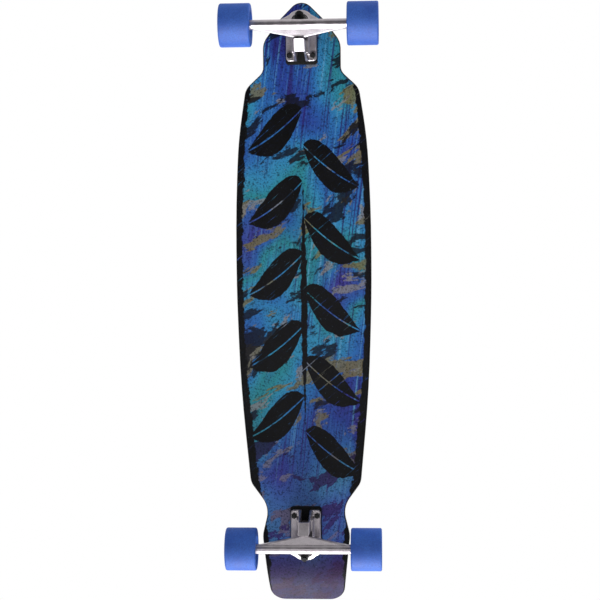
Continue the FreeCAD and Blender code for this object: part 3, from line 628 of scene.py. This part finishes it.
def roundedOutline(corners, steps=8):
    # each corner (two coordinates and a radius) becomes an arc: a rational curve between its tangent points,
    # drawn to the corner with the cosine of half the turn as its weight
    corners = np.array(corners, float)
    here, radius = corners[:, :2], corners[:, 2]
    back = np.roll(here, 1, 0) - here
    ahead = np.roll(here, -1, 0) - here
    back /= np.linalg.norm(back, axis=1)[:, None]
    ahead /= np.linalg.norm(ahead, axis=1)[:, None]
    halfTurn = (math.pi - np.arccos(np.clip((back * ahead).sum(1), -1.0, 1.0))) / 2
    cut = (radius * np.tan(halfTurn))[:, None, None]
    step = np.linspace(0.0, 1.0, steps)[None, :, None]
    weights = ((1 - step) ** 2, 2 * np.cos(halfTurn)[:, None, None] * step * (1 - step), step ** 2)
    knots = (here[:, None] + back[:, None] * cut, here[:, None], here[:, None] + ahead[:, None] * cut)
    points = sum(w * k for w, k in zip(weights, knots)) / sum(weights)
    points = points.reshape(-1, 2)
    return points[np.linalg.norm(points - np.roll(points, 1, 0), axis=1) > mergeDistance]


def turned(radius, along, centre, axis, steps):
    # centre, plus a distance along the axis, plus a spoke that turns round it times the radius
    axis = Vector(axis).normalized()
    side = axis.orthogonal().normalized()
    angle = np.linspace(0.0, 2 * math.pi, steps, endpoint=False)[None, :, None]
    spoke = np.cos(angle) * np.array(side) + np.sin(angle) * np.array(axis.cross(side))
    return np.array(centre) + along[..., None] * np.array(axis) + radius[..., None] * spoke


def turnedRing(corners, centre, axis, steps=96):
    # a rounded outline of radius by distance along the axis, turned about that axis
    outline = roundedOutline(corners)
    return turned(outline[:, :1], outline[:, 1:], centre, axis, steps)


def reach(node, origin, direction):
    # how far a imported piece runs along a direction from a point
    target = nodes[node]
    points = np.empty(len(target.data.vertices) * 3)
    target.data.vertices.foreach_get("co", points)
    place = np.array(target.matrix_world)
    points = points.reshape(-1, 3) @ place[:3, :3].T + place[:3, 3]
    along = (points - np.array(origin)) @ np.array(direction)
    return along.min(), along.max()


# Wheels: soft tyres with nearly square lips and a dished recess on each face
tyreLook = {
    "lip": 0.0030, "mouthLip": 0.0025, "innerMouth": 0.0255, "outerMouth": 0.0275, "hub": 0.0175,
    "dishStep": 0.0022, "dishDepth": 0.0016, "dishCurve": 0.0040, "steps": 144,
}


def buildTyre(wheel, look):
    # one rounded outline, radius by distance from the board's centre plane, turned about the axle
    low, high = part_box(wheel + "_tyre")
    hubLow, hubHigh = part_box(wheel + "_bearing_outer_rings")
    centre = (low + high) / 2
    outward = math.copysign(1.0, centre.y)
    inner, outer = sorted((abs(low.y), abs(high.y)))
    hubInner, hubOuter = sorted((abs(hubLow.y), abs(hubHigh.y)))
    tread = (high.z - low.z) / 2
    dish = look["hub"] + look["dishStep"]
    corners = [
        (look["innerMouth"], inner, look["mouthLip"]), (tread, inner, look["lip"]),
        (tread, outer, look["lip"]), (look["outerMouth"], outer, look["mouthLip"]),
        (dish, hubOuter + look["dishDepth"], look["dishCurve"]), (look["hub"], hubOuter, 0.0),
        (look["hub"], hubInner, 0.0), (dish, hubInner - look["dishDepth"], look["dishCurve"]),
    ]
    ring = turnedRing(corners, (centre.x, 0.0, centre.z), (0.0, outward, 0.0), look["steps"])
    mesh = surfaceMesh(wheel + "_soft_tyre", [ring], wrapRows=True)
    addPiece(wheel + "_soft_tyre", mesh, "blue_urethane", wheel + "_wheel", wheel + "_tyre")


# Truck pieces that give: bushings, pivot cups and riser pads
bushingLook = {
    "bore": 0.0049, "steps": 96,
    "board": {"near": 0.0135, "waist": 0.0125, "far": 0.0135, "round": 0.0014, "waistRound": 0.012},
    "road": {"near": 0.0130, "waist": 0.0110, "far": 0.0085, "round": 0.0012, "waistRound": 0.010},
}
cupLook = {"radius": 0.0069, "bore": 0.0053, "flange": 0.0003, "flangeHeight": 0.0012, "round": 0.0003}
padLook = {
    "corner": 0.006,
    "section": [  # inset of the side, by share of the height
        (0.0012, 0.0), (0.0004, 0.06), (0.0, 0.2), (-0.0003, 0.5), (0.0, 0.8), (0.0004, 0.94), (0.0012, 1.0),
    ],
}


def buildBushing(end, which, look, centre, pin):
    # a waisted or tapered outline turned about the kingpin
    low, high = reach(f"{end}_{which}_bushing", centre, pin)
    shape = look[which]
    corners = [
        (look["bore"], low, 0.0), (shape["near"], low, shape["round"]),
        (shape["waist"], (low + high) / 2, shape["waistRound"]),
        (shape["far"], high, shape["round"]), (look["bore"], high, 0.0),
    ]
    name = f"{end}_soft_{which}_bushing"
    mesh = surfaceMesh(name, [turnedRing(corners, centre, pin, look["steps"])], wrapRows=True)
    piece = addPiece(name, mesh, "black_urethane", replaced=f"{end}_{which}_bushing")
    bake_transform(piece)


def buildCup(end, look, centre, axis):
    # a plain bore, a straight side and a small flange at one end, turned about the steering axis
    low, high = reach(end + "_pivot_cup", centre, axis)
    shoulder = high - look["flangeHeight"]
    rim = look["radius"] + look["flange"]
    corners = [
        (look["bore"], low, 0.0), (look["radius"], low, look["round"]), (look["radius"], shoulder, 0.0),
        (rim, shoulder, 0.0), (rim, high, look["round"]), (look["bore"], high, look["round"]),
    ]
    mesh = surfaceMesh(end + "_soft_cup", [turnedRing(corners, centre, axis)], wrapRows=True)
    addPiece(end + "_soft_cup", mesh, "black_urethane", "board", end + "_pivot_cup")


def buildPad(end, look):
    # rounded rectangles at rising heights, set in or out by a slight bulge, closed to a point on both faces
    low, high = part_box(end + "_riser_pad")
    middle = (low + high) / 2
    rows = []
    for inset, share in look["section"]:
        corners = [(x, y, look["corner"]) for x, y in (
            (low.x + inset, low.y + inset), (high.x - inset, low.y + inset),
            (high.x - inset, high.y - inset), (low.x + inset, high.y - inset),
        )]
        outline = roundedOutline(corners)
        height = low.z + (high.z - low.z) * share
        rows.append(np.column_stack([outline, np.full(len(outline), height)]))
    caps = [np.broadcast_to((middle.x, middle.y, z), rows[0].shape) for z in (low.z, high.z)]
    mesh = surfaceMesh(end + "_soft_pad", [np.stack([caps[0], *rows, caps[1]])])
    addPiece(end + "_soft_pad", mesh, "black_rubber", "board", end + "_riser_pad")


# Castings: hangers and baseplates with the soft edges of a casting
castLook = {"voxel": 0.0007, "relaxing": 5, "factor": 0.5, "crease": 70.0}


def buildCasting(node, body, look):
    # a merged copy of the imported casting, rebuilt as an even skin and relaxed so that its edges round off
    mesh = nodes[node].data.copy()
    mesh.transform(nodes[node].matrix_world)
    tidyMesh(mesh)
    rough = bpy.data.objects.new(node + "_rough", mesh)
    bpy.context.collection.objects.link(rough)
    skin = rough.modifiers.new("skin", "REMESH")
    skin.mode = "VOXEL"
    skin.voxel_size = look["voxel"]
    relax = rough.modifiers.new("relax", "SMOOTH")
    relax.factor = look["factor"]
    relax.iterations = look["relaxing"]
    ready = rough.evaluated_get(bpy.context.evaluated_depsgraph_get())
    cast = bpy.data.meshes.new_from_object(ready)
    bpy.data.objects.remove(rough)
    addPiece(node + "_cast", cast, "cast_metal", body, node, crease=look["crease"])


# Threads on the free ends of axles, kingpins and bolts
threadLook = {
    "axle": {"radius": 0.00398, "ridge": 0.00022, "pitch": 0.00106, "end": 0.0009},
    "kingpin": {"radius": 0.00476, "ridge": 0.00024, "pitch": 0.00106, "end": 0.0006},
    "bolt": {"radius": 0.00239, "ridge": 0.00018, "pitch": 0.00079, "end": 0.0004, "head": 0.0047},
    "columns": 48, "rowsPerTurn": 10, "leastRows": 3, "fadesPerTurn": 2,
}


def threadGrid(which, centre, axis, start, end):
    # rod radius plus a ridge: a triangle wave of distance over pitch less angle over a turn, which fades out
    # at both ends
    look = threadLook[which]
    end = end - look["end"]
    rows = int((end - start) / look["pitch"] * threadLook["rowsPerTurn"]) + threadLook["leastRows"]
    along = np.linspace(start, end, rows)[:, None]
    turn = np.linspace(0.0, 1.0, threadLook["columns"], endpoint=False)[None, :]
    wave = np.abs((along / look["pitch"] - turn) % 1.0 * 2 - 1)
    toEnd = np.minimum(along - start, end - along)
    fade = np.clip(toEnd / look["pitch"] * threadLook["fadesPerTurn"], 0.0, 1.0)
    radius = look["radius"] + look["ridge"] * wave * fade
    radius = np.concatenate([np.zeros_like(radius[:1]), radius, np.zeros_like(radius[-1:])])
    along = np.concatenate([along[:1], along, along[-1:]])
    return turned(radius, along, centre, axis, threadLook["columns"])


def freeEnd(which, nut, rod, centre, axis):
    # the stretch of a rod that stands out of its nut
    return threadGrid(which, centre, axis, reach(nut, centre, axis)[1], reach(rod, centre, axis)[1])


def buildThreads(end, centre, pin):
    # both ends of the axle, the tip of the kingpin and the four bolts
    axle = Vector(joints[end + "_left_spin"]["pos_m"])
    middle = (axle.x, 0.0, axle.z)
    grids = [
        freeEnd("axle", end + "_axle_nuts", end + "_axle", middle, (0.0, outward, 0.0))
        for outward in (1.0, -1.0)
    ]
    addPiece(end + "_axle_threads", surfaceMesh(end + "_axle_threads", grids), "plated_steel", end + "_truck")
    tip = freeEnd("kingpin", end + "_kingpin_nut", end + "_kingpin", centre, pin)
    pinMesh = surfaceMesh(end + "_kingpin_thread", [tip])
    addPiece(end + "_kingpin_thread", pinMesh, "plated_steel", "board", paint="pin_steel")
    low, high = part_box(end + "_mounting_bolts")
    inset = threadLook["bolt"]["head"]
    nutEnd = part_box(end + "_mounting_nuts")[0].z
    grids = [
        threadGrid("bolt", (x, y, 0.0), (0.0, 0.0, -1.0), -nutEnd, -low.z)
        for x in (low.x + inset, high.x - inset) for y in (low.y + inset, high.y - inset)
    ]
    addPiece(end + "_bolt_threads", surfaceMesh(end + "_bolt_threads", grids), "black_steel", "board")


for end in ("front", "rear"):
    steer = joints[end + "_steer"]
    yoke, steerAxis = Vector(steer["pos_m"]), Vector(steer["axis"]).normalized()
    facing = math.copysign(1.0, steerAxis.x)
    pinWay = Vector((steerAxis.z * facing, 0.0, -steerAxis.x * facing))  # square to that axis, downwards
    for side in ("left", "right"):
        buildTyre(f"{end}_{side}", tyreLook)
    for which in ("board", "road"):
        buildBushing(end, which, bushingLook, yoke, pinWay)
    buildCup(end, cupLook, yoke, steerAxis)
    buildPad(end, padLook)
    buildCasting(end + "_hanger", end + "_truck", castLook)
    buildCasting(end + "_baseplate", "board", castLook)
    buildThreads(end, yoke, pinWay)
    print(end, "truck dressed")


# Floor: a pale disc, seen only from above and fading out before its rim
floorLook = {
    "radius": 2.6, "fadeFrom": 0.8, "rim": 0.1, "rings": 9, "steps": 64,
    "colour": shade(240, 240, 240), "roughness": 0.9, "gloss": 0.1,
}


def buildFloor(look):
    # rings of a flat disc: radius times the cosine and sine of the angle, turned so that it faces up
    radius = np.linspace(0.0, look["radius"], look["rings"])[:, None]
    angle = np.linspace(2 * math.pi, 0.0, look["steps"], endpoint=False)[None, :]
    disc = np.stack([radius * np.cos(angle), radius * np.sin(angle), np.zeros_like(radius * angle)], -1)
    floor = bpy.data.objects.new("studioFloor", surfaceMesh("studioFloor", [disc]))
    bpy.context.collection.objects.link(floor)
    for ray in ("diffuse", "glossy", "transmission", "shadow"):
        setattr(floor, "visible_" + ray, False)
    material, tree, surface, place = newMaterial("paleFloor")
    feed(tree, surface, {
        "Base Color": look["colour"], "Roughness": look["roughness"], "Specular IOR Level": look["gloss"],
    })
    distance = addNode(tree, "VectorMath", {0: place}, operation="LENGTH").outputs["Value"]
    seen = remap(tree, distance, look["radius"] - look["rim"], look["fadeFrom"])
    back = addNode(tree, "NewGeometry").outputs["Backfacing"]
    gone = calc(tree, "MAXIMUM", calc(tree, "SUBTRACT", 1.0, seen), back)
    clear = addNode(tree, "BsdfTransparent").outputs[0]
    shown = addNode(tree, "MixShader", {0: gone, 1: surface.outputs[0], 2: clear}).outputs[0]
    feed(tree, tree.nodes["Material Output"], {"Surface": shown})
    floor.data.materials.append(material)


# Surroundings: white to the camera and to shiny pieces, but dim to these around straight below
worldLook = {
    "colour": (1.0, 1.0, 1.0, 1.0), "ambient": 0.34,
    "bright": (-0.25, 0.0, 0.968), "dimFrom": -0.3, "dimTo": -0.9, "dimmest": 0.04,
}


def buildWorld(look):
    # the strength depends on the kind of ray, and for a mirrored one on its angle to the bright direction
    world = bpy.data.worlds.new("studioWorld")
    bpy.context.scene.world = world
    world.use_nodes = True
    tree = world.node_tree
    path = addNode(tree, "LightPath").outputs
    way = addNode(tree, "TexCoord").outputs["Generated"]
    lit = addNode(tree, "VectorMath", {0: way, 1: look["bright"]}, operation="DOT_PRODUCT").outputs["Value"]
    mirrored = remap(tree, lit, look["dimTo"], look["dimFrom"], look["dimmest"], 1.0)
    seen = calc(tree, "MAXIMUM", path["Is Camera Ray"], path["Is Transmission Ray"])
    seen = calc(tree, "MAXIMUM", seen, calc(tree, "MULTIPLY", path["Is Glossy Ray"], mirrored))
    strength = calc(tree, "MAXIMUM", seen, calc(tree, "MULTIPLY", path["Is Diffuse Ray"], look["ambient"]))
    feed(tree, tree.nodes["Background"], {"Color": look["colour"], "Strength": strength})


# Lamps: a far one from the tail, reflectors for the metal, soft fill below the nose and above the board
frontTruck, rearTruck = (0.47, 0.0, 0.04), (-0.40, 0.0, 0.04)
lampLook = {
    "tailBelow": {"place": (-6.0, 0.3, -1.0), "size": 4.2, "power": 480.0, "mirrored": True},
    "tailLow": {"place": (-3.5, 0.2, -3.4), "size": 1.6, "power": 35.0, "mirrored": True, "lights": False},
    "webCard": {
        "place": (-0.94, -0.12, -1.65), "size": 0.5, "power": 1.9, "mirrored": True, "lights": False,
        "aim": frontTruck, "spread": 36.0,
    },
    "rearCard": {
        "place": (-0.38, -0.05, -1.70), "size": 0.9, "power": 0.25, "mirrored": True, "lights": False,
        "aim": rearTruck, "spread": 36.0,
    },
    "noseBelow": {"place": (0.9, 0.2, -1.5), "size": 1.2, "power": 6.0, "aim": frontTruck},
    "keyAbove": {"place": (-1.2, -1.8, 2.4), "size": 1.8, "power": 70.0},
    "fillAbove": {"place": (1.8, 1.6, 1.9), "size": 2.0, "power": 40.0},
}


def buildLamps(lamps):
    middle = (sum(c[0] for c in cadBox) / 2, 0.0, riserTop)
    usual = {"aim": middle, "spread": 180.0, "mirrored": False, "lights": True}
    for name, changes in lamps.items():
        lamp = {**usual, **changes}
        data = bpy.data.lights.new(name, "AREA")
        data.shape = "DISK"
        data.size = lamp["size"]
        data.energy = lamp["power"]
        data.spread = math.radians(lamp["spread"])
        light = bpy.data.objects.new(name, data)
        light.location = lamp["place"]
        way = Vector(lamp["aim"]) - light.location
        light.rotation_euler = way.to_track_quat("-Z", "Y").to_euler()
        light.visible_camera = False
        light.visible_glossy = lamp["mirrored"]
        light.visible_diffuse = lamp["lights"]
        bpy.context.collection.objects.link(light)


# Camera below the board: image up is towards the nose, image right towards +Y
cameraLook = {
    "place": (0.1839, 0.1713, -2.6), "lens": 91.37, "sensor": 36.0,
    "right": (-0.00982, 0.99783, 0.06516), "up": (0.99796, 0.00567, 0.06357),
}


def buildCamera(look):
    data = bpy.data.cameras.new("photoCamera")
    data.sensor_width = look["sensor"]
    data.lens = look["lens"]
    camera = bpy.data.objects.new("photoCamera", data)
    right = Vector(look["right"]).normalized()
    up = Vector(look["up"])
    up = (up - right * up.dot(right)).normalized()
    axes = Matrix((right, up, right.cross(up))).transposed().to_4x4()
    camera.matrix_world = Matrix.Translation(look["place"]) @ axes
    bpy.context.collection.objects.link(camera)
    bpy.context.scene.camera = camera


buildFloor(floorLook)
buildWorld(worldLook)
buildLamps(lampLook)
buildCamera(cameraLook)
bpy.context.scene.view_settings.view_transform = "Standard"
print("studio and camera placed")
